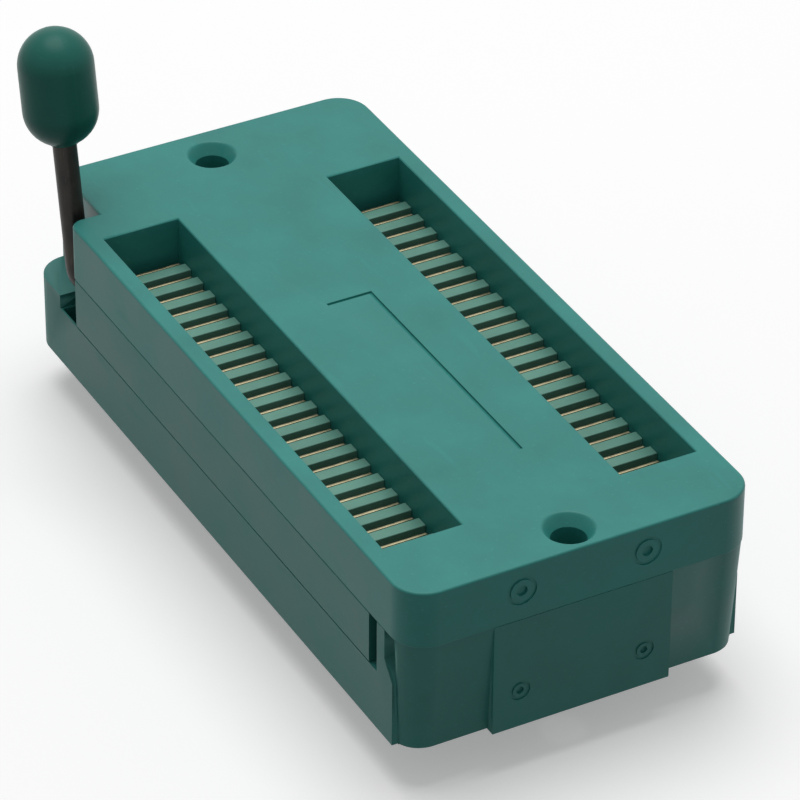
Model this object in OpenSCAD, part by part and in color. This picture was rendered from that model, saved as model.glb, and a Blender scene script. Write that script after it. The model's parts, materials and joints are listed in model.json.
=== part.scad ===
// Lever-operated zero insertion force socket for dual in-line packages.
// A cranked lever rod pushes a slotted slider along X. The slider's bars then
// press the package's leads against fixed contact blades.
// Millimetres. Origin: centre of the seating plane. +X away from the lever.

/* [Body] */
// Width of the body across the two rows
body_w = 24; // [23.8:0.2:34]
// Height of the base, from the seating plane to the cover
base_h = 8; // [7.9:0.1:12]
// Thickness of the top cover
cover_t = 4; // [3.6:0.1:7]
// Radius of the body's upright corners
corner_r = 2.2; // [1:0.1:3]
// Length of solid body at the lever end, up to the wells
lever_end_l = 8.85; // [8.6:0.05:16]
// Length of solid body at the far end, from the wells
front_end_l = 5.35; // [5.2:0.05:12]

/* [Contacts] */
// Contacts in each row
contact_count = 21; // [6:1:27]
// Distance from one contact to the next
pitch = 1.778; // [1.7:0.001:2.54]
// Distance between the two rows of tails
row_spacing = 15.24; // [14.2:0.01:18]
// Thickness of a contact's sheet metal
contact_t = 0.2; // [0.15:0.01:0.3]
// Width of a contact blade where it grips a lead
blade_w = 5; // [4.6:0.1:5.2]
// Width of a contact's tail
tail_w = 0.6; // [0.4:0.05:0.9]
// Length of the tails below the seating plane
tail_l = 3.2; // [1.6:0.1:6]

/* [Wells and slots] */
// Width of each well in the cover
well_w = 5.33; // [5.3:0.01:5.6]
// Depth from the cover's top to the slotted field
field_depth = 2.9; // [1.5:0.1:3.2]
// Length of each slot along the row, lead and contact together
slot_w = 0.9; // [0.75:0.01:1.1]
// Running clearance round the slider
slide_gap = 0.04; // [0.02:0.01:0.08]

/* [Lever and crank] */
// Diameter of the lever rod
rod_d = 1.6; // [1.2:0.05:1.9]
// Length of the lever from the pivot axis to the knob's end
lever_l = 18.4; // [14:0.1:40]
// Length of the knob
knob_l = 7.9; // [6.5:0.1:12]
// Diameter of the knob
knob_d = 5; // [3.5:0.1:7]
// Lean of the open lever away from the wells, in degrees
lever_lean = 9.5; // [8:0.5:12]
// Swing of the lever from open to closed, in degrees
lever_swing = 80; // [60:1:80]
// Travel of the slider from open to closed
travel = 0.5; // [0.3:0.01:0.55]
// Height of the pivot axis above the seating plane
pivot_z = 6.2; // [5.8:0.1:6.3]

/* [Mounting holes] */
// Diameter of the two through holes on the centre line
hole_d = 2.26; // [1.6:0.01:2.4]
// Diameter of their countersinks
sink_d = 3.3; // [2.5:0.05:3.6]
// Depth of the countersinks
sink_depth = 0.78; // [0.3:0.01:1.4]

/* [Hidden] */
$fn = 48;
far = 60;                                  // reach of cuts that run out of a piece
nip = 0.1;                                 // overrun of a cut past the face it opens

// Lengths: the body is as long as its rows and its two ends
field_slack = 0.96;                        // well left over beyond the slots
well_l = contact_count * pitch + field_slack;
body_l = lever_end_l + well_l + front_end_l;
x_back = -body_l / 2;
x_front = body_l / 2;
well_x0 = x_back + lever_end_l;
well_x1 = well_x0 + well_l;

// Widths, on the positive side
half_w = body_w / 2;
blade_offset = 0.515;                      // blades stand outside the tails
blade_y = row_spacing / 2 + blade_offset;
well_y0 = blade_y - well_w / 2;
well_y1 = blade_y + well_w / 2;
skirt_t = 1.1;
skirt_y = half_w - skirt_t;                // inner face of the slider's skirts
block_y0 = well_y0 - 0.6;                  // inner face of the contact blocks
block_y1 = min(skirt_y - slide_gap, well_y1 + 1);

// Heights
top_z = base_h + cover_t;
skirt_z = 4.3;                             // the skirts ride on the side walls here
plate_t = 1.36;
plate_z1 = base_h - slide_gap;
plate_z0 = plate_z1 - plate_t;
block_z = plate_z0 - 0.2;
field_z = top_z - field_depth;
blade_z = field_z - 0.2;
seat_z = 1.2;                              // contact shoulders rest here

// Slots and contacts along X
slot_lead_in = 0.1;
contact_gap = 0.03;                        // blade to the bar in front of it
function slot_x(i) = well_x0 + slot_lead_in + i * pitch;
function blade_x(i) = slot_x(i) + slot_w - contact_gap - contact_t / 2;

// Pivot and crank
rod_r = rod_d / 2;
run_gap = 0.05;                            // radial clearance of the shaft and crank
pivot_x = x_back + 5.35;
arm_y = -(half_w - 1);
elbow_r = rod_d;                           // centre-line radius of the bend
crank_e = travel / 2 / sin(lever_swing / 2);
crank_r = rod_r + crank_e + 0.01;
crank_rest = -90 - lever_swing / 2;        // crank direction at rest, from +X to +Z
crank_x = pivot_x + crank_e * cos(crank_rest);
crank_z = pivot_z + crank_e * sin(crank_rest);
crank_y = 5;
crank_l = 2.2;
shaft_y0 = arm_y + elbow_r;
shaft_y1 = well_y1 - 1.4;
notch_y = arm_y + rod_r + 0.45;            // inner wall of the lever's notch
notch_gap = 0.14;                          // lever rod to the notch's front wall, at the seam
notch_x = pivot_x - (base_h - pivot_z) * tan(lever_lean) + rod_r / cos(lever_lean) + notch_gap;
notch_r = 0.9;
pocket_y = shaft_y0 - 0.1;                 // bearing block starts here
shelf_z = pivot_z - rod_r - 0.1;
bearing_y0 = crank_y + crank_l / 2 + 0.5;

// Yokes of the slider
ear_t = 1;
yoke_w = crank_l - 0.2;
yoke_half = crank_r + run_gap;
yoke_z0 = pivot_z - crank_e - crank_r + 0.4;
yoke_z1 = crank_z + crank_r + 0.25;
yoke_x0 = crank_x - yoke_half - ear_t;
bay_z = pivot_z - crank_e - crank_r - 0.4; // floor of the bay round the crank

// Slider ends and the base's end blocks
skirt_x0 = well_x0 - 2.1;
plate_x0 = pivot_x + crank_r + run_gap + ear_t - 0.25;
plate_x1 = well_x1 + 0.5;
post_x0 = plate_x1 + 1;                    // latch post beside the slider
post_x1 = post_x0 + 0.95;
vent_x1 = post_x1 + 1.1;                   // slot between post and corner block
back_block_x = plate_x0 - 0.2;
window_x0 = pivot_x - 1.1;                 // window for the lever's elbow

// Mounting holes
hole_back_x = x_back + 2.85;
hole_front_x = x_front - 2.05;
hole_r = hole_d / 2;

// Locating pegs between base and cover
peg_r = 0.7;
peg_h = 1.2;
peg_gap = 0.02;
pegs = [[x_front - 2.05, 8], [x_front - 2.05, -8], [x_back + 2, 8.2], [x_back + 2, -7.2]];

plastic = [0.27, 0.52, 0.49];
plastic_dark = [0.20, 0.42, 0.39];
steel = [0.16, 0.15, 0.15];
gold = [0.72, 0.60, 0.36];

contact_nodes = [for (side = ["left", "right"]) for (i = [1 : contact_count])
    str("contact_", side, "_", i < 10 ? "0" : "", i)];

// ---- Shared shapes ----

// Box between two corners
module block(low, high) {
    translate(low) cube(high - low);
}

// Flat rectangle from (x0, y0) to (x1, y1) with round corners
module round_rect(x0, x1, y0, y1, r) {
    translate([x0 + r, y0]) square([x1 - x0 - 2 * r, y1 - y0]);
    translate([x0, y0 + r]) square([x1 - x0, y1 - y0 - 2 * r]);
    for (x = [x0 + r, x1 - r], y = [y0 + r, y1 - r])
        translate([x, y]) circle(r);
}

// The same shape on both sides of the centre line
module both_sides() {
    children();
    mirror([0, 1, 0]) children();
}

// Cylinder along +Y from y0 to y1
module y_rod(x, z, y0, y1, r) {
    translate([x, y0, z]) rotate([-90, 0, 0]) cylinder(r = r, h = y1 - y0);
}

// The two mounting holes, through everything
module mounting_holes(z0, z1) {
    for (x = [hole_back_x, hole_front_x])
        translate([x, 0, z0 - nip]) cylinder(r = hole_r, h = z1 - z0 + 2 * nip);
}

// Moulding gate mark on the end face: a shallow ring and a dimple
module gate_mark(y, z, r) {
    ring = 0.22;
    translate([x_front, y, z]) rotate([0, -90, 0]) {
        translate([0, 0, -nip]) difference() {
            cylinder(r = r, h = nip + 0.08);
            translate([0, 0, -nip]) cylinder(r = r - ring, h = 3 * nip + 0.08);
        }
        translate([0, 0, -nip]) cylinder(r = r * 0.36, h = nip + 0.16);
    }
}

gate_y = 4.3;                              // gate marks either side of the centre
gate_plate_half = 6.15;                    // half width of the undrafted panel that carries them

// ---- Top cover ----

module cover_outline() {
    difference() {
        round_rect(x_back, x_front, -half_w, half_w, corner_r);
        lever_notch();
    }
}

// Corner left open for the lever, with its outer edge rounded
module lever_notch() {
    translate([x_back - far, -far]) square([notch_x - x_back + far, far + notch_y]);
    translate([notch_x - nip, -half_w - nip]) difference() {
        square(notch_r + nip);
        translate([notch_r + nip, notch_r + nip]) circle(notch_r);
    }
}

// Angled line moulded round the marking's place
module marking_frame() {
    line = 0.25;
    depth = 0.15;
    x0 = -3.95;
    y1 = 1.6;
    translate([x0, -y1, top_z - depth]) cube([line, 2 * y1, depth + nip]);
    translate([x0, y1 - line, top_z - depth]) cube([19.7, line, depth + nip]);
}

module countersinks() {
    for (x = [hole_back_x, hole_front_x])
        translate([x, 0, top_z - sink_depth])
            cylinder(r1 = hole_r, r2 = sink_d / 2, h = sink_depth);
}

// Tongues that close the open bearings over the shaft
module bearing_caps() {
    cap_z = pivot_z + rod_r + run_gap;
    half = rod_r;
    both_sides() block([pivot_x - half, bearing_y0 + 0.2, cap_z],
                       [pivot_x + half, shaft_y1 - 0.2, base_h]);
}

module top_cover() {
    color(plastic) {
        difference() {
            translate([0, 0, base_h]) linear_extrude(cover_t) cover_outline();
            both_sides() block([well_x0, well_y0, base_h - nip], [well_x1, well_y1, top_z + nip]);
            mounting_holes(base_h, top_z);
            countersinks();
            marking_frame();
            for (y = [-gate_y, gate_y]) gate_mark(y, base_h + cover_t * 0.53, 1);
            for (p = pegs) translate([p[0], p[1], base_h - nip])
                cylinder(r = peg_r + peg_gap, h = peg_h + 0.2 + nip);
        }
        bearing_caps();
    }
}

// ---- Slider ----

// One row's slotted field, raised into the well
module slotted_field() {
    difference() {
        block([slot_x(0) + slot_w, well_y0 + slide_gap, plate_z0],
              [well_x1 - travel - slide_gap, well_y1 - slide_gap, field_z]);
        slots();
    }
}

module slots() {
    for (i = [0 : contact_count - 1])
        block([slot_x(i), well_y0 - nip, plate_z0 - nip],
              [slot_x(i) + slot_w, well_y1 + nip, field_z + nip]);
}

// Arm with a downward-open yoke that the crank turns in
module yoke() {
    difference() {
        block([yoke_x0, crank_y - yoke_w / 2, yoke_z0],
              [plate_x0 + 1, crank_y + yoke_w / 2, plate_z1]);
        block([crank_x - yoke_half, crank_y - yoke_w, yoke_z0 - nip],
              [crank_x + yoke_half, crank_y + yoke_w, yoke_z1]);
        block([plate_x0, crank_y - yoke_w, yoke_z0 - nip],
              [plate_x0 + 2, crank_y + yoke_w, plate_z0 - nip]);
    }
}

module slider() {
    color(plastic_dark) {
        difference() {
            block([plate_x0, -half_w, plate_z0], [plate_x1, half_w, plate_z1]);
            both_sides() slots();
        }
        both_sides() {
            slotted_field();
            block([skirt_x0, skirt_y, skirt_z + slide_gap], [plate_x1, half_w, plate_z1]);
            yoke();
        }
    }
}

// ---- Base ----

// Far end block below the cover, drafted towards the seating plane
module drafted_end() {
    x0 = well_x1 - corner_r;
    lip = 0.05;
    front_draft = 0.7;
    side_draft = 0.3;
    hull() {
        translate([0, 0, base_h - 0.01]) linear_extrude(0.01)
            round_rect(x0, x_front - lip, lip - half_w, half_w - lip, corner_r - lip, $fn = 64);
        linear_extrude(0.01)
            round_rect(x0, x_front - front_draft, side_draft - half_w, half_w - side_draft,
                       corner_r - side_draft, $fn = 64);
    }
}

// Floor, walls, end blocks and the two blocks that hold the contacts
module base_solid() {
    linear_extrude(skirt_z) round_rect(x_back, vent_x1 + corner_r, -half_w, half_w, corner_r);
    intersection() {
        linear_extrude(base_h) round_rect(x_back, vent_x1 + corner_r, -half_w, half_w, corner_r);
        union() {
            block([x_back, -half_w, 0], [skirt_x0 - 0.1, half_w, base_h]);
            block([x_back, slide_gap - skirt_y, 0], [back_block_x, skirt_y - slide_gap, base_h]);
            block([post_x0, -half_w, 0], [x_front, half_w, base_h]);
        }
    }
    both_sides() block([well_x0 - 0.6, block_y0, 0], [well_x1 + 0.3, block_y1, block_z]);
}

module base() {
    color(plastic_dark) {
        difference() {
            union() {
                difference() {
                    base_solid();
                    block([vent_x1, -far, -nip], [far, far, base_h + nip]);
                }
                intersection() {
                    drafted_end();
                    block([vent_x1, -far, 0], [far, far, base_h]);
                }
                block([vent_x1 - 1, -gate_plate_half, 0], [x_front, gate_plate_half, base_h]);
            }
            core_cells();
            both_sides() {
                for (i = [0 : contact_count - 1]) contact_pocket(i);
                post_vent();
            }
            crank_bay();
            shaft_bearings();
            elbow_window();
            lever_shelf();
            mounting_holes(0, base_h);
            for (y = [-gate_y, gate_y]) gate_mark(y, 2.7, 0.7);
        }
        for (p = pegs) translate([p[0], p[1], base_h - nip]) cylinder(r = peg_r, h = peg_h + nip);
    }
}

// Cells that core out the middle of the base between the rows
module core_cells() {
    cell = 4.2;
    step = cell + 1;
    count = floor((well_l + 1) / step);
    both_sides() for (i = [0 : count - 1])
        block([well_x0 + i * step, 0.5, 1.6], [well_x0 + i * step + cell, 0.5 + block_y0 - 1, base_h]);
}

// Pocket for one contact: tail slot, grip zone and room to flex
module contact_pocket(i) {
    fit = 0.02;
    x = blade_x(i);
    block([x - contact_t / 2 - fit, row_spacing / 2 - tail_w / 2 - fit, -nip],
          [x + contact_t / 2 + fit, row_spacing / 2 + tail_w / 2 + fit, seat_z + nip]);
    block([x - contact_t / 2 - fit, blade_y - grip_w / 2 - fit, seat_z],
          [x + contact_t / 2 + fit, blade_y + grip_w / 2 + fit, block_z + nip]);
    block([x - 0.3, blade_y - grip_w / 2 - fit, grip_z + 0.2],
          [x + 0.4, blade_y + grip_w / 2 + fit, block_z + nip]);
}

// Open slot beside the latch post, its floor sloping down to the corner block
module post_vent() {
    depth = 1.4;
    translate([0, half_w + nip, 0]) rotate([90, 0, 0]) linear_extrude(depth + nip)
        polygon([[post_x1, base_h + nip], [post_x1, 5.9], [vent_x1, 4.5], [vent_x1, base_h + nip]]);
    block([vent_x1 - 0.1, half_w - 0.4, -nip], [vent_x1, half_w + nip, 5]);
}

// Room for the crank and the yokes, round the hole's boss
module crank_bay() {
    difference() {
        block([yoke_x0 - 0.2, -bearing_y0, bay_z], [well_x0 - 0.6, bearing_y0, base_h + nip]);
        translate([hole_back_x, 0, 0]) cylinder(r = hole_r + 0.8, h = base_h);
    }
    y_rod(pivot_x, pivot_z, -bearing_y0, bearing_y0, rod_r + 0.15);
    block([pivot_x - rod_r - 0.15, -bearing_y0, pivot_z],
          [pivot_x + rod_r + 0.15, bearing_y0, base_h + nip]);
}

// Open-topped half-round bearings for the shaft
module shaft_bearings() {
    r = rod_r + run_gap;
    y_rod(pivot_x, pivot_z, -far, shaft_y1 + 0.1, r);
    block([pivot_x - r, -far, pivot_z], [pivot_x + r, shaft_y1 + 0.1, base_h + nip]);
}

module elbow_window() {
    block([window_x0, -far, skirt_z], [skirt_x0, pocket_y, base_h + nip]);
}

// Ledge that the lever lies on when closed
module lever_shelf() {
    block([x_back - nip, -far, shelf_z], [window_x0 + nip, notch_y, base_h + nip]);
}

// ---- Contacts ----

grip_w = 4.4;                              // blade's width where the base grips it
grip_z = 3.4;                              // top of the gripped zone

// Stamped outline seen along X: tail, grip with barbs, waist and blade.
// y is measured from the blade's centre line towards the outside.
module contact_outline() {
    tail = -blade_offset;
    grip = grip_w / 2;
    blade = blade_w / 2;
    waist = 1.5;
    barb = 0.12;
    polygon([
        [tail - tail_w / 2, seat_z], [tail - tail_w / 2, 0.5 - tail_l], [tail - 0.12, -tail_l],
        [tail + 0.12, -tail_l], [tail + tail_w / 2, 0.5 - tail_l], [tail + tail_w / 2, seat_z],
        [grip - barb, seat_z], [grip - barb, 1.8], [grip, 2.3], [grip - barb, 2.35],
        [grip - barb, 2.7], [grip, 3.2], [grip, grip_z],
        [waist, grip_z + 0.6], [waist, block_z], [blade, plate_z0 + 0.5], [blade, blade_z - 0.25],
        [blade - 0.25, blade_z], [0.25 - blade, blade_z],
        [-blade, blade_z - 0.25], [-blade, plate_z0 + 0.5], [-waist, block_z], [-waist, grip_z + 0.6],
        [-grip, grip_z], [-grip, 3.2], [barb - grip, 2.7],
        [barb - grip, 2.35], [-grip, 2.3], [barb - grip, 1.8], [barb - grip, seat_z]
    ]);
}

// One contact: side is 1 for the right row and -1 for the left
module contact(i, side) {
    color(gold)
        scale([1, side, 1])
            translate([blade_x(i) - contact_t / 2, blade_y, 0])
                rotate([90, 0, 90]) linear_extrude(contact_t) contact_outline();
}

// ---- Lever ----

// Turns what follows from straight up to the open lever's lean, about the pivot
module at_lever() {
    translate([pivot_x, 0, pivot_z]) rotate([0, -lever_lean, 0]) children();
}

knob_z0 = lever_l - knob_l;
rod_end = lever_l - 2.6;                   // the rod stops inside the knob

module lever_rod() {
    color(steel) {
        at_lever() {
            translate([0, arm_y, elbow_r]) cylinder(r = rod_r, h = rod_end - elbow_r);
            translate([0, shaft_y0, elbow_r]) rotate([0, 90, 0]) rotate([0, 0, -90])
                rotate_extrude(angle = 90) translate([elbow_r, 0]) circle(rod_r);
            translate([0, shaft_y0, 0]) rotate([-90, 0, 0]) cylinder(r = rod_r, h = shaft_y1 - shaft_y0);
        }
        both_sides() y_rod(crank_x, crank_z, crank_y - crank_l / 2, crank_y + crank_l / 2, crank_r);
    }
}

// Half section of the knob: a barrel with domed ends and a flat foot
module knob_section() {
    dome = knob_d / 2;
    foot = rod_r + 0.2;
    intersection() {
        union() {
            translate([0, dome - 0.15]) circle(dome);
            translate([0, knob_l - dome]) circle(dome);
            translate([0, dome - 0.15]) square([dome, knob_l - 2 * dome + 0.15]);
            square([foot, dome]);
        }
        square([dome, knob_l]);
    }
}

module lever_knob() {
    color(plastic_dark)
        at_lever() translate([0, arm_y, knob_z0]) difference() {
            rotate_extrude() knob_section();
            translate([0, 0, -nip]) cylinder(r = rod_r + 0.01, h = rod_end - knob_z0 + nip);
        }
}

// ---- Assembly ----

top_cover();
slider();
base();
lever_rod();
lever_knob();
for (i = [0 : contact_count - 1]) {
    contact(i, -1);
    contact(i, 1);
}
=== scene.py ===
# %% [markdown]
# # A lever socket for forty-two leads
# This lesson dresses a socket that grips a chip's leads when its lever is pulled
# down. The shapes that move and fit were drawn in CAD, and they are loaded here as
# a fixed frame. Blender's work is what the eye judges: rounded edges, moulded
# plastic, blackened steel and plated contacts. Every number is in metres.

# %% Load the frame
import json
import math

import bmesh
import bpy
from mathutils import Matrix, Vector


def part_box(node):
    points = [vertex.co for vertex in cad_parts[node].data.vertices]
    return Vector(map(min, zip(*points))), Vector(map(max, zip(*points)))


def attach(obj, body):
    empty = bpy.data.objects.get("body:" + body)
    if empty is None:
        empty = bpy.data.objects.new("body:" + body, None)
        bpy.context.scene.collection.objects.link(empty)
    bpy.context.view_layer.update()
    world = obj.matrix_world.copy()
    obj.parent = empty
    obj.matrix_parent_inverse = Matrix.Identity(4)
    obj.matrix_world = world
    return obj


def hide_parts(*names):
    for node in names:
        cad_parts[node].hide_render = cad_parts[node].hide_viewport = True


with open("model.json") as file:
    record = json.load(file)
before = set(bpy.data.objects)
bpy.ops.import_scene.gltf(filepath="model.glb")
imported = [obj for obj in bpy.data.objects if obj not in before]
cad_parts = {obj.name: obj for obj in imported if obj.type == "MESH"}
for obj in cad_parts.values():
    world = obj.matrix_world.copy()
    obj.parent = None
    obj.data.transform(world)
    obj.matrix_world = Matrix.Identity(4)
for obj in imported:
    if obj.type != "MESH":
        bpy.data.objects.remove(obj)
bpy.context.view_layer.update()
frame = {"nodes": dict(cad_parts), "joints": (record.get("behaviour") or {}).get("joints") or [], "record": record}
MM = 0.001
NEAR = 1e-6  # places closer than this are the same

# %% [markdown]
# Every piece takes its place from the CAD nodes. A socket of this kind repeats one
# contact at an even step, so two contact boxes give the step, and the cover's box
# gives the height of its top. The seam between cover and base lies inside both of
# their boxes, so its height is written here, with the gap that the slider runs in.

# %% Measure the frame
top_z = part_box("top_cover")[1].z
slider_lo, slider_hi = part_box("slider")
contact_lo, contact_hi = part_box("contact_right_01")
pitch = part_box("contact_right_02")[0].x - contact_lo.x
contact_count = sum(1 for name in frame["nodes"] if name.startswith("contact_right_"))
seam_z = 8 * MM
slide_gap = 0.04 * MM
print(f"contacts in a row: {contact_count}, step {pitch / MM:.3f} mm")

# %% [markdown]
# The camera stands in front of the socket's far end, a little to its left, and
# looks down by about a third of a right angle. A long lens from a third of a metre
# keeps the long edges nearly parallel, as a product picture does. The direction is
# given as a vector and turned into a rotation, and a small roll is added last.

# %% Camera
camera_place = Vector((0.238707, -0.127841, 0.192647))
camera_look = Vector((-0.724406, 0.392834, -0.566496))
camera_roll = math.radians(0.4)
camera_lens = 232.65
camera = bpy.data.objects.new("camera", bpy.data.cameras.new("camera"))
bpy.context.scene.collection.objects.link(camera)
camera.data.lens = camera_lens
camera.data.clip_start = 0.01
camera.data.clip_end = 20
turn = camera_look.to_track_quat("-Z", "Y").to_matrix().to_4x4()
camera.matrix_world = (
    Matrix.Translation(camera_place) @ turn @ Matrix.Rotation(camera_roll, 4, "Z")
)
bpy.context.scene.camera = camera
bpy.context.scene.view_settings.view_transform = "Standard"
print("camera distance:", round((camera_place - Vector((0, 0, top_z))).length, 3), "m")

# %% [markdown]
# Materials are trees of nodes, and writing each node out takes four lines. One
# helper makes a node, sets what it is told and joins its inputs, so that each
# material below reads as a short recipe.

# %% Helper: one node in one call
def add(tree, kind, inputs=None, **settings):
    node = tree.nodes.new(kind)
    for name, value in settings.items():
        setattr(node, name, value)
    for name, value in (inputs or {}).items():
        if isinstance(value, bpy.types.NodeSocket):
            tree.links.new(value, node.inputs[name])
        else:
            node.inputs[name].default_value = value
    return node


def start_material(name):
    material = bpy.data.materials.new(name)
    material.use_nodes = True
    tree = material.node_tree
    shader = tree.nodes["Principled BSDF"]
    place = add(tree, "ShaderNodeTexCoord").outputs["Object"]
    return material, tree, shader, place


def noise(tree, place, size, detail=2.0, rough=0.5, stretch=None):
    """Noise whose lumps are about size metres across, from 0 to 1."""
    if stretch:
        squeezed = add(tree, "ShaderNodeMapping", {"Vector": place, "Scale": stretch})
        place = squeezed.outputs[0]
    return add(
        tree, "ShaderNodeTexNoise",
        {"Vector": place, "Scale": 1 / size, "Detail": detail, "Roughness": rough},
    ).outputs["Fac"]


def remap(tree, value, low, high, to_low=0.0, to_high=1.0):
    return add(
        tree, "ShaderNodeMapRange",
        {"Value": value, "From Min": low, "From Max": high,
         "To Min": to_low, "To Max": to_high},
    ).outputs["Result"]


def blend(tree, factor, a, b, mode="MIX"):
    return add(
        tree, "ShaderNodeMix", {"Factor": factor, 6: a, 7: b},
        data_type="RGBA", blend_type=mode,
    ).outputs[2]


def math_node(tree, operation, a, b):
    return add(tree, "ShaderNodeMath", {0: a, 1: b}, operation=operation).outputs[0]


def rough_skin(tree, shader, height, strength, depth):
    """Lets a height disturb the surface, by up to depth metres."""
    bump = add(
        tree, "ShaderNodeBump", {"Height": height, "Strength": strength, "Distance": depth})
    tree.links.new(bump.outputs[0], shader.inputs["Normal"])


# %% [markdown]
# The body is moulded from a glass-filled polyester. Such a plastic isn't one flat
# colour: the melt cools in faint clouds a few millimetres wide, short glass fibres
# show as tiny paler flecks, and the spark-eroded mould leaves a fine satin grain.
# All three come from noise at their real sizes, and the grain goes to the bump.

# %% Moulded plastic
cloud_size, fibre_size, scuff_size = 6 * MM, 0.16 * MM, 1.1 * MM
grain_size, skin_size, grain_depth = 0.11 * MM, 1.4 * MM, 0.012 * MM


def lighter(colour, factor, lift):
    return [min(1, c * factor + lift) for c in colour] + [1]


def moulded_plastic(
        name, colour, cloud=0.10, satin=0.42, flecks=0.35, scuffs=0.25, shine=0.28):
    material, tree, shader, place = start_material(name)
    deep = [c * (1 - cloud) for c in colour] + [1]
    clouds = noise(tree, place, cloud_size, 4, 0.55)
    tone = blend(
        tree, remap(tree, clouds, 0.3, 0.7), deep, lighter(colour, 1 + cloud, 0.004))
    fibres = noise(tree, place, fibre_size, 1, 0.5, (1, 0.45, 1))
    fleck = remap(tree, fibres, 0.66, 0.76, 0, flecks)
    tone = blend(tree, fleck, tone, lighter(colour, 1.35, 0.02))
    lines = noise(tree, place, scuff_size, 3, 0.6, (0.12, 1, 1))
    scuff = remap(tree, lines, 0.64, 0.70, 0, scuffs)
    tone = blend(tree, scuff, tone, lighter(colour, 1.22, 0.012))
    tree.links.new(tone, shader.inputs["Base Color"])
    shader.inputs["Specular IOR Level"].default_value = shine
    gloss = remap(tree, clouds, 0.25, 0.75, satin - 0.05, satin + 0.07)
    dulled = math_node(tree, "MULTIPLY", scuff, 0.25)
    tree.links.new(math_node(tree, "ADD", gloss, dulled), shader.inputs["Roughness"])
    grain = noise(tree, place, grain_size, 2, 0.6)
    skin = noise(tree, place, skin_size, 2, 0.5)
    height = math_node(tree, "ADD", grain, math_node(tree, "MULTIPLY", skin, 1.6))
    rough_skin(tree, shader, height, 0.35, grain_depth)
    return material


cover_plastic = moulded_plastic("moulded_cover", (0.030, 0.235, 0.210))
base_plastic = moulded_plastic("moulded_base", (0.029, 0.195, 0.172), satin=0.45)
slider_plastic = moulded_plastic("moulded_slider", (0.030, 0.200, 0.176), satin=0.44)
bar_plastic = moulded_plastic("moulded_bars", (0.130, 0.310, 0.245), cloud=0.14, scuffs=0.5)
knob_plastic = moulded_plastic(
    "moulded_knob", (0.015, 0.130, 0.104), satin=0.34, flecks=0.2, shine=0.14)
print("plastics:", [m.name for m in bpy.data.materials if m.name.startswith("moulded_")])

# %% [markdown]
# The lever is a round steel rod with a black oxide finish. Drawing the rod leaves
# long fine lines on it, and the oxide is thin and brownish where it was handled.
# The lines run along the rod, so the noise is squeezed along Z.

# %% Blackened steel
def blackened_steel(name):
    material, tree, shader, place = start_material(name)
    patches = noise(tree, place, 2.2 * MM, 4, 0.6)
    black, brown = (0.012, 0.012, 0.012, 1), (0.034, 0.028, 0.022, 1)
    tone = blend(tree, remap(tree, patches, 0.35, 0.7), black, brown)
    lines = noise(tree, place, 0.14 * MM, 3, 0.6, (1, 1, 0.03))
    drawn = (0.075, 0.066, 0.056, 1)
    tone = blend(tree, remap(tree, lines, 0.55, 0.75, 0, 0.35), tone, drawn)
    tree.links.new(tone, shader.inputs["Base Color"])
    shader.inputs["Metallic"].default_value = 0.55
    tree.links.new(remap(tree, patches, 0.3, 0.7, 0.36, 0.52), shader.inputs["Roughness"])
    rough_skin(tree, shader, lines, 0.25, 0.01 * MM)
    return material


lever_steel = blackened_steel("blackened_steel")
print("steel:", lever_steel.name)

# %% [markdown]
# The contacts are stamped from a springy copper alloy and plated. Rolled strip
# keeps its rolling lines, and the punch leaves the cut edges a little duller.

# %% Plated strip
def plated_strip(name):
    material, tree, shader, place = start_material(name)
    patches = noise(tree, place, 0.9 * MM, 3, 0.6)
    dull, bright = (0.27, 0.24, 0.15, 1), (0.40, 0.36, 0.23, 1)
    tone = blend(tree, remap(tree, patches, 0.35, 0.7), dull, bright)
    lines = noise(tree, place, 0.08 * MM, 2, 0.5, (1, 1, 0.06))
    tone = blend(tree, remap(tree, lines, 0.5, 0.8, 0, 0.5), tone, (0.20, 0.17, 0.11, 1))
    tree.links.new(tone, shader.inputs["Base Color"])
    shader.inputs["Metallic"].default_value = 1.0
    tree.links.new(remap(tree, patches, 0.3, 0.7, 0.34, 0.5), shader.inputs["Roughness"])
    rough_skin(tree, shader, lines, 0.3, 0.006 * MM)
    return material


contact_metal = plated_strip("plated_strip")
print("plating:", contact_metal.name)

# %% [markdown]
# A CAD solid arrives as loose triangles with knife-sharp edges. A real moulding
# has none: every edge is rounded by a tenth of a millimetre or more, and that thin
# rounded edge is what catches the light. So a copy of each moulding is merged,
# its flat triangles are joined, and chosen edges are rounded with a bevel. Only
# chosen edges, because one bevel on all of them would be held back by the smallest.

# %% Helpers: copy a CAD node and round its edges
def merged_copy(node):
    bm = bmesh.new()
    bm.from_mesh(frame["nodes"][node].data)
    bmesh.ops.remove_doubles(bm, verts=bm.verts, dist=NEAR / 10)
    flat = math.radians(0.5)
    bmesh.ops.dissolve_limit(bm, angle_limit=flat, verts=bm.verts, edges=bm.edges)
    return bm


def round_edges(bm, wanted, radius, steps=2, least=40):
    """Rounds the wanted edges that turn outwards by more than least degrees."""
    chosen = []
    for edge in bm.edges:
        if len(edge.link_faces) == 2 and edge.is_convex:
            sharp = edge.calc_face_angle(0) > math.radians(least)
            if sharp and wanted(*(v.co for v in edge.verts)):
                chosen.append(edge)
    if chosen:
        bmesh.ops.bevel(
            bm, geom=chosen, offset=radius, segments=steps, profile=0.5,
            affect="EDGES", clamp_overlap=True, harden_normals=False,
        )
    return len(chosen)


def at_height(z):
    return lambda a, b: abs(a.z - z) < NEAR and abs(b.z - z) < NEAR


# %% [markdown]
# A finished mesh gets its material, smooth shading that stays sharp at real edges,
# and weighted normals, which keep large flat faces flat in the light.

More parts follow.
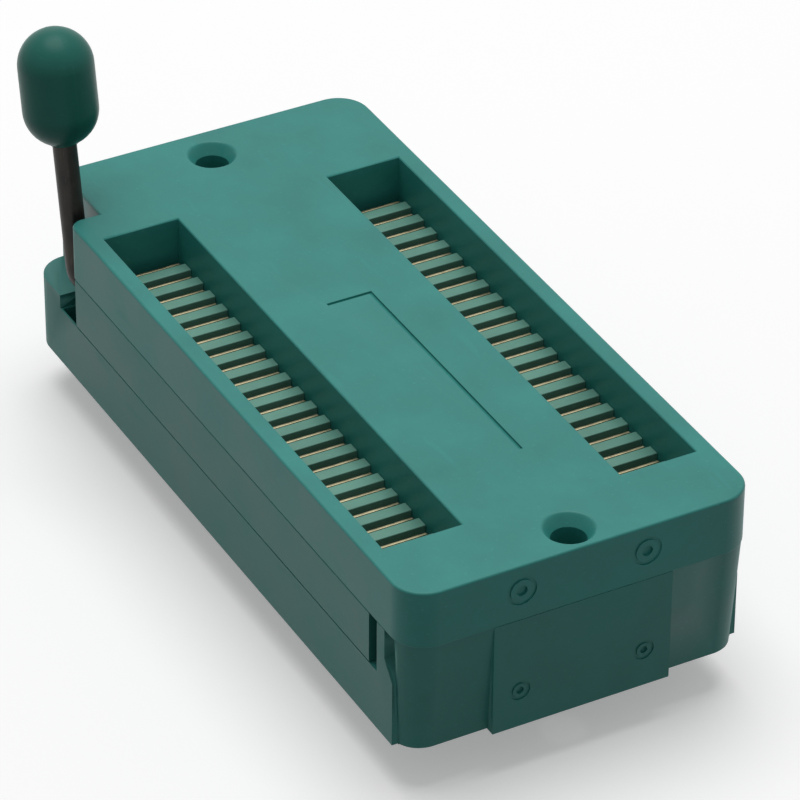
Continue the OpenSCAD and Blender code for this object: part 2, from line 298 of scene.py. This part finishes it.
# %% Helpers: dress a piece
def dressed_piece(name, mesh, material, body, slot, *nodes, smooth=35):
    """Turns a mesh into a piece that rides on a body and stands for CAD nodes."""
    mesh.materials.clear()
    mesh.materials.append(material)
    mesh.shade_smooth()
    mesh.set_sharp_from_angle(angle=math.radians(smooth))
    piece = bpy.data.objects.new(name, mesh)
    bpy.context.scene.collection.objects.link(piece)
    weigh = piece.modifiers.new("weigh_normals", "WEIGHTED_NORMAL")
    weigh.keep_sharp = True
    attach(piece, body)
    if nodes:
        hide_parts(*nodes)
    return piece


def finished_piece(name, bm, material, body, slot, *nodes, smooth=35):
    mesh = bpy.data.meshes.new(name)
    bm.to_mesh(mesh)
    bm.free()
    return dressed_piece(name, mesh, material, body, slot, *nodes, smooth=smooth)


# %% [markdown]
# An edge is chosen by where it lies. Seen from above, the wells, the marking, the
# screw holes and the outside each have their own region, and a function for each
# says whether both ends of an edge are in it. The holes' places come from the
# record's mount, so they stay with the CAD.

# %% Regions of the body
hole_mount = next(m for m in frame["record"]["mounts"] if m["name"] == "mounting_holes")
hole_step = hole_mount["dims"]["spacing_x_mm"] * MM / 2
hole_places = [Vector((hole_mount["pos_m"][0] + side * hole_step, 0)) for side in (-1, 1)]
hole_reach = 2 * MM
well_x0, well_x1 = contact_lo.x - 1.5 * MM, contact_hi.x + contact_count * pitch
well_y0, well_y1 = 5.3 * MM, 10.9 * MM
marking_x, marking_y = 17 * MM, 3 * MM
outer_x, outer_y = 25.4 * MM, 11.3 * MM
notch_x, notch_y = -20 * MM, -9.6 * MM


def in_wells(a, b):
    return all(
        well_y0 < abs(p.y) < well_y1 and well_x0 < p.x < well_x1 for p in (a, b))


def in_marking(a, b):
    return all(abs(p.y) < marking_y and abs(p.x) < marking_x for p in (a, b))


def in_holes(a, b):
    return all(
        min((p.xy - hole).length for hole in hole_places) < hole_reach for p in (a, b))


def on_outside(a, b):
    """The outer walls, and the notch that the lever stands in."""
    return all(
        abs(p.y) > outer_y or abs(p.x) > outer_x or (p.x < notch_x and p.y < notch_y)
        for p in (a, b))


def round_outside(bm, label, *heights_and_radii):
    for height, radius in heights_and_radii:
        at = at_height(height)
        count = round_edges(bm, lambda a, b: at(a, b) and on_outside(a, b), radius)
        print(f"{label} edges at {height / MM:.2f} mm: {count}")


print("holes at", [round(place.x / MM, 2) for place in hole_places], "mm")

# %% [markdown]
# The top cover is one moulding with two long wells. Its rim is softly rounded all
# round, the wells' rims less so, and its lower edge has the small radius that
# makes the joint with the base read as a fine line.

# %% Top cover
rim_radius, hole_radius = 0.16 * MM, 0.12 * MM
well_radius, seam_radius = 0.1 * MM, 0.06 * MM
cover = merged_copy("top_cover")
on_top = at_height(top_z)
print("rim edges:", round_edges(
    cover, lambda a, b: on_top(a, b) and not (
        in_wells(a, b) or in_marking(a, b) or in_holes(a, b)),
    rim_radius, steps=3, least=60))
print("hole edges:", round_edges(
    cover, lambda a, b: on_top(a, b) and in_holes(a, b), hole_radius, steps=3, least=20))
print("well edges:", round_edges(
    cover, lambda a, b: on_top(a, b) and in_wells(a, b), well_radius))
round_outside(cover, "cover", (seam_z, seam_radius))
finished_piece(
    "cover_moulding", cover, cover_plastic, "housing", "cover_plastic", "top_cover")

# %% [markdown]
# The base carries everything else. Its foot, its seam and the ledge under the
# slider's skirts are the edges that show, and each gets its own radius. The window
# beside the lever's elbow is a dark pocket on the real moulding, so its floor is
# sunk behind a thin lip: the face is cut free, inset and pushed down.

# %% Base
window_x, window_y = -19.62 * MM, -9 * MM
window_lip, window_depth, least_floor = 0.22 * MM, 1.6 * MM, 2 * MM * MM
foot_radius = 0.14 * MM
ledge_z = slider_lo.z - slide_gap
base = merged_copy("base")
bmesh.ops.bisect_plane(
    base, geom=base.verts[:] + base.edges[:] + base.faces[:],
    plane_co=(window_x, 0, 0), plane_no=(1, 0, 0))


def in_window(vertex):
    x, y, z = vertex.co
    return abs(z - ledge_z) < NEAR and x < window_x + NEAR and y < window_y


floors = [f for f in base.faces if all(in_window(v) for v in f.verts)]
print("window floor faces:", len(floors))
floors = [f for f in floors if f.calc_area() > least_floor]
bmesh.ops.inset_individual(base, faces=floors, thickness=window_lip)
sunk = bmesh.ops.extrude_discrete_faces(base, faces=floors)["faces"]
bmesh.ops.translate(
    base, vec=(0, 0, -window_depth), verts=list({v for f in sunk for v in f.verts}))
round_outside(base, "base", (0, foot_radius), (seam_z, seam_radius), (ledge_z, seam_radius))
finished_piece("base_moulding", base, base_plastic, "housing", "base_plastic", "base")

# %% [markdown]
# The slider is a plate with skirts that show on the body's sides, and two rows of
# bars that stand up into the wells. The plate is copied and rounded as before, but
# the bars are cut off it, because the next step makes them from one rule.

# %% Slider plate
plate_z = 7.96 * MM
cut_z = plate_z + 0.001 * MM
slider = merged_copy("slider")
bmesh.ops.bisect_plane(
    slider, geom=slider.verts[:] + slider.edges[:] + slider.faces[:],
    plane_co=(0, 0, cut_z), plane_no=(0, 0, 1), clear_outer=True)
open_edges = [e for e in slider.edges if e.is_boundary]
bmesh.ops.holes_fill(slider, edges=open_edges, sides=0)
round_outside(slider, "slider", (plate_z, seam_radius), (slider_lo.z, seam_radius))
finished_piece(
    "slider_plate", slider, slider_plastic, "slider", "slider_plastic", "slider")

# %% [markdown]
# Twenty-one bars stand in each well at the contacts' step. They follow a rule, so
# Geometry Nodes make them: a rectangle with rounded corners is swept across the
# well for one bar, and the bar is put on every point of a line. The last bar is
# longer, so its instance is stretched. The tree ends by making the instances real.

# %% A tree for a row of bars
def new_tree(name, sizes):
    tree = bpy.data.node_groups.new(name, "GeometryNodeTree")
    sockets = {}
    for label, kind in sizes:
        sockets[label] = tree.interface.new_socket(label, in_out="INPUT", socket_type=kind)
    tree.interface.new_socket("Geometry", in_out="OUTPUT", socket_type="NodeSocketGeometry")
    start = tree.nodes.new("NodeGroupInput")
    end = tree.nodes.new("NodeGroupOutput")
    return tree, sockets, start.outputs, end.inputs["Geometry"]


def end_tree(tree, geometry, material, end):
    real = add(tree, "GeometryNodeRealizeInstances", {"Geometry": geometry}).outputs[0]
    dressed = add(tree, "GeometryNodeSetMaterial", {"Geometry": real, "Material": material})
    tree.links.new(dressed.outputs[0], end)


FLOAT, VECTOR, INT = "NodeSocketFloat", "NodeSocketVector", "NodeSocketInt"
bar_tree, bar_sockets, given, bars_out = new_tree("row_of_bars", [
    ("Count", INT), ("Step", VECTOR), ("Start", VECTOR), ("Bar Width", FLOAT),
    ("Bar Height", FLOAT), ("Bar Length", VECTOR), ("Edge Radius", FLOAT),
    ("Last Bar Stretch", VECTOR), ("Material", "NodeSocketMaterial")])
corner_steps = 3


def out_of(kind, inputs=None, **settings):
    """The first output of a new node in the bar tree."""
    return add(bar_tree, kind, inputs, **settings).outputs[0]


outline = out_of("GeometryNodeCurvePrimitiveQuadrilateral", {
    "Width": given["Bar Width"], "Height": given["Bar Height"]})
rounded = add(bar_tree, "GeometryNodeFilletCurve", {
    "Curve": outline, "Radius": given["Edge Radius"]})
rounded.mode = "POLY"
rounded.inputs["Count"].default_value = corner_steps
across = out_of("GeometryNodeCurvePrimitiveLine", {"End": given["Bar Length"]})
swept = out_of("GeometryNodeCurveToMesh", {
    "Curve": across, "Profile Curve": rounded.outputs[0], "Fill Caps": True})
half = out_of("ShaderNodeMath", {0: given["Bar Width"], 1: 0.5}, operation="MULTIPLY")
aside = out_of("ShaderNodeCombineXYZ", {"X": half})
one_bar = out_of("GeometryNodeTransform", {"Geometry": swept, "Translation": aside})
places = out_of("GeometryNodeMeshLine", {
    "Count": given["Count"], "Start Location": given["Start"], "Offset": given["Step"]})
index = out_of("GeometryNodeInputIndex")
last = out_of("ShaderNodeMath", {0: given["Count"], 1: 1.0}, operation="SUBTRACT")
is_last = out_of("FunctionNodeCompare", {0: index, 1: last}, operation="EQUAL")
stretch = out_of(
    "GeometryNodeSwitch",
    {"Switch": is_last, "False": (1, 1, 1), "True": given["Last Bar Stretch"]},
    input_type="VECTOR")
row = out_of("GeometryNodeInstanceOnPoints", {
    "Points": places, "Instance": one_bar, "Scale": stretch})
end_tree(bar_tree, row, given["Material"], bars_out)
print("bar tree inputs:", list(bar_sockets))


# %% [markdown]
# A tree works on an object. A bare host carries it, takes its named inputs and is
# evaluated once, and the result is kept as a plain mesh. The host is removed again,
# because a finished piece has no tree left on it.

# %% Helper: run a tree and keep its plain mesh
def grown_mesh(name, tree, sockets, values):
    host = bpy.data.objects.new(name + "_host", bpy.data.meshes.new(name + "_host"))
    bpy.context.scene.collection.objects.link(host)
    grow = host.modifiers.new("grow", "NODES")
    grow.node_group = tree
    for label, value in values.items():
        grow[sockets[label].identifier] = value
    host.update_tag()
    bpy.context.view_layer.update()
    shown = host.evaluated_get(bpy.context.evaluated_depsgraph_get())
    mesh = bpy.data.meshes.new_from_object(shown)
    mesh.name = name
    bpy.data.objects.remove(host)
    return mesh


# %% [markdown]
# The bars' sizes are read from the tops of the CAD's own bars. The first two edges
# along X give the start and the width, the last one shows how much longer the last
# bar is, and the edges along Y give the well's sides. One tree grows both rows.

# %% Bars in both wells
bar_radius = 0.07 * MM
slider_points = [vertex.co for vertex in frame["nodes"]["slider"].data.vertices]
tops = [p for p in slider_points if p.z > slider_hi.z - NEAR]
edges_x = sorted({round(p.x, 6) for p in tops})
edges_y = sorted({round(p.y, 6) for p in tops if p.y > 0})
bar_start, bar_end, last_end = edges_x[0], edges_x[1], edges_x[-1]
bar_width = bar_end - bar_start
last_width = last_end - (bar_start + (contact_count - 1) * pitch)
bar_height = slider_hi.z - plate_z
print(f"bar {bar_width / MM:.3f} wide, {bar_height / MM:.2f} tall")
print(f"last bar {last_width / MM:.3f} wide")
for name, side in (("bars_right", 1), ("bars_left", -1)):
    y0, y1 = (edges_y[0], edges_y[-1]) if side > 0 else (-edges_y[-1], -edges_y[0])
    values = {
        "Count": contact_count, "Step": (pitch, 0, 0),
        "Start": (bar_start, y0, plate_z + bar_height / 2),
        "Bar Width": bar_width, "Bar Height": bar_height, "Bar Length": (0, y1 - y0, 0),
        "Edge Radius": bar_radius, "Last Bar Stretch": (last_width / bar_width, 1, 1),
        "Material": bar_plastic,
    }
    mesh = grown_mesh(name, bar_tree, bar_sockets, values)
    bars = dressed_piece(name, mesh, bar_plastic, "slider", "slider_plastic", "slider")
    lo, hi = Vector(bars.bound_box[0]) / MM, Vector(bars.bound_box[6]) / MM
    print(name, [round(v, 3) for v in (*lo, *hi)])

# %% [markdown]
# Each row has one contact per slot, all stamped by the same tool. One contact is
# merged and its cut edges are broken by a hair, and a tree puts that pattern at
# every step along the row, so a row is one mesh and every contact in it is alike.

# %% A tree for a row of contacts
row_tree, row_sockets, given, contacts_out = new_tree("row_of_contacts", [
    ("Count", INT), ("Step", VECTOR), ("Pattern", "NodeSocketObject"),
    ("Material", "NodeSocketMaterial")])
pattern = add(row_tree, "GeometryNodeObjectInfo", {"Object": given["Pattern"]})
places = add(row_tree, "GeometryNodeMeshLine", {
    "Count": given["Count"], "Offset": given["Step"]}).outputs[0]
row = add(row_tree, "GeometryNodeInstanceOnPoints",
          {"Points": places, "Instance": pattern.outputs["Geometry"]}).outputs[0]
end_tree(row_tree, row, given["Material"], contacts_out)
print("contact tree inputs:", list(row_sockets))

# %% [markdown]
# The contacts' tips end level with the bars, so the top of the pattern is lifted to
# the bars' height before its edges are broken. The pattern keeps the place of the
# row's first contact, and the tree puts the others at every step from there.

# %% Contacts in both rows
tip_depth, stamped_radius = 0.4 * MM, 0.025 * MM
for side in ("right", "left"):
    nodes = [f"contact_{side}_{i:02d}" for i in range(1, contact_count + 1)]
    stamping = merged_copy(nodes[0])
    for vertex in stamping.verts:
        if vertex.co.z > contact_hi.z - tip_depth:
            vertex.co.z += slider_hi.z - contact_hi.z
    round_edges(stamping, lambda a, b: True, stamped_radius, least=50)
    mesh = bpy.data.meshes.new("pattern")
    stamping.to_mesh(mesh)
    stamping.free()
    tool = bpy.data.objects.new("pattern", mesh)
    bpy.context.scene.collection.objects.link(tool)
    mesh = grown_mesh(f"contacts_{side}", row_tree, row_sockets, {
        "Count": contact_count, "Step": (pitch, 0, 0), "Pattern": tool,
        "Material": contact_metal})
    bpy.data.objects.remove(tool)
    piece = dressed_piece(
        f"contacts_{side}", mesh, contact_metal, "housing", "contact_metal", *nodes)
    print(piece.name, len(mesh.polygons), "faces")

# %% [markdown]
# The lever is one rod: it runs up from the crank inside the body, turns a tight
# elbow beside the cover and ends inside the knob. Its CAD shape is right, so the
# copy is only merged and shaded smoothly.

# %% Lever rod
rod = merged_copy("lever_rod")
rod_piece = finished_piece(
    "rod", rod, lever_steel, "lever", "lever_steel", "lever_rod", smooth=50)
print("rod faces:", len(rod_piece.data.polygons))

# %% [markdown]
# The knob is moulded round the rod's end in a mould of two halves, so a fine line
# runs up it where they met. It is turned from a half section that is read from the
# CAD node, ring by ring, in the lever's own upright direction. The line is added to
# the rings, and stops short of the crown's middle.

# %% The knob's half section
lean = math.radians(9.5)
bore_radius, crown_height, axis_gap = 1.0 * MM, 0.5 * MM, 0.01 * MM
hinge = next(j for j in frame["joints"] if j["name"] == "lever_hinge")
to_lever = Matrix.Rotation(lean, 4, "Y") @ Matrix.Translation(-Vector(hinge["pos_m"]))
knob_lo, knob_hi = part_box("lever_knob")
axis_y = (knob_lo.y + knob_hi.y) / 2
section = {}
for vertex in frame["nodes"]["lever_knob"].data.vertices:
    p = to_lever @ vertex.co
    height = round(p.z, 5)
    radius = math.hypot(p.x, p.y - axis_y)
    section[height] = max(section.get(height, 0), radius)
crown_start = max(section) - crown_height
profile = [
    (radius, height) for height, radius in sorted(section.items())
    if radius > axis_gap and (radius > bore_radius - axis_gap or height > crown_start)]
print("knob rings:", len(profile), "from", profile[0], "to", profile[-1])

# %% [markdown]
# Each ring has the same number of points, so neighbouring rings join into squares.
# The first ring and the last are closed with a face each, and the whole is put
# back where the CAD has the knob.

# %% Knob
knob_turns, line_height, line_end_radius = 96, 0.03 * MM, 0.84 * MM
knob = bmesh.new()
rings = []
for radius, height in profile:
    ring = []
    for k in range(knob_turns):
        angle = 2 * math.pi * k / knob_turns
        on_line = k in (0, knob_turns // 2) and radius > line_end_radius
        r = radius + (line_height if on_line else 0)
        x, y = r * math.cos(angle), axis_y + r * math.sin(angle)
        ring.append(knob.verts.new((x, y, height)))
    rings.append(ring)
for low, high in zip(rings, rings[1:]):
    for k in range(knob_turns):
        n = (k + 1) % knob_turns
        knob.faces.new((low[k], low[n], high[n], high[k]))
knob.faces.new(list(reversed(rings[0])))
knob.faces.new(rings[-1])
bmesh.ops.transform(knob, matrix=to_lever.inverted(), verts=knob.verts)
bmesh.ops.recalc_face_normals(knob, faces=knob.faces)
print("knob faces:", len(knob.faces))
finished_piece("knob", knob, knob_plastic, "lever", "knob_plastic", "lever_knob")

# %% [markdown]
# The socket stands on the tips of its tails, on a plain pale floor that reaches far
# past the picture's edge.

# %% Floor
floor_z = contact_lo.z - 0.05 * MM
reach = 3.0
floor_mesh = bpy.data.meshes.new("floor")
signs = ((-1, -1), (1, -1), (1, 1), (-1, 1))
corners = [(x * reach, y * reach, floor_z) for x, y in signs]
floor_mesh.from_pydata(corners, [], [(0, 1, 2, 3)])
floor = bpy.data.objects.new("floor", floor_mesh)
bpy.context.scene.collection.objects.link(floor)
print("floor at", round(floor_z / MM, 2), "mm")

# %% [markdown]
# The floor is shown near white, while the light it throws back on the object is
# only that of a dark grey table. Light Path tells the two apart: what the camera
# sees, or sees in a mirror or through glass, gets the white paint, and all other
# light gets the grey. Shadows still show, and from below the floor is see-through.

# %% Floor paint
def seen_directly(tree):
    path = add(tree, "ShaderNodeLightPath").outputs
    seen = math_node(tree, "MAXIMUM", path["Is Camera Ray"], path["Is Glossy Ray"])
    return math_node(tree, "MAXIMUM", seen, path["Is Transmission Ray"])


def grey(level):
    return (level, level, level, 1)


floor_paint = bpy.data.materials.new("floor_paint")
floor_paint.use_nodes = True
tree = floor_paint.node_tree
tree.nodes.clear()
seen = seen_directly(tree)
white = add(tree, "ShaderNodeBsdfDiffuse", {"Color": grey(0.80)}).outputs[0]
glow = add(tree, "ShaderNodeEmission", {"Color": grey(1), "Strength": 0.30}).outputs[0]
bright = add(tree, "ShaderNodeAddShader", {0: white, 1: glow}).outputs[0]
dark = add(tree, "ShaderNodeBsdfDiffuse", {"Color": grey(0.10)}).outputs[0]
mixed = add(tree, "ShaderNodeMixShader", {0: seen, 1: dark, 2: bright}).outputs[0]
below = add(tree, "ShaderNodeNewGeometry").outputs["Backfacing"]
clear = add(tree, "ShaderNodeBsdfTransparent").outputs[0]
one_sided = add(tree, "ShaderNodeMixShader", {0: below, 1: mixed, 2: clear}).outputs[0]
add(tree, "ShaderNodeOutputMaterial", {"Surface": one_sided})
floor.data.materials.append(floor_paint)
print("floor paint nodes:", len(tree.nodes))

# %% [markdown]
# The world does the same: it is white where it is seen, and lights the object with
# a weaker grey, so that the dark plastic keeps its shadows.

# %% World
world = bpy.data.worlds.new("studio")
bpy.context.scene.world = world
world.use_nodes = True
tree = world.node_tree
sky = tree.nodes["Background"]
tone = blend(tree, seen_directly(tree), grey(0.27), grey(1))
tree.links.new(tone, sky.inputs["Color"])
print("world:", world.name)

# %% [markdown]
# One large soft light hangs above and behind the socket, a little to its left. It
# lights the top most, the long left side less and the far end least, which is
# what gives a dark green block its shape. Its power is set so that a flat
# surface facing up is shown at about the colour that its material has.

# %% Lights
def soft_light(name, place, size, power):
    data = bpy.data.lights.new(name, "AREA")
    data.shape = "DISK"
    data.size = size
    data.energy = power
    light = bpy.data.objects.new(name, data)
    bpy.context.scene.collection.objects.link(light)
    light.location = place
    light.rotation_mode = "QUATERNION"
    light.rotation_quaternion = (-Vector(place)).to_track_quat("-Z", "Y")
    return light


overhead = soft_light("overhead", place=(-0.10, 0.03, 0.56), size=0.5, power=2.25)
print("light:", overhead.name, overhead.data.energy, "W")

# %% Done
print("scene built")
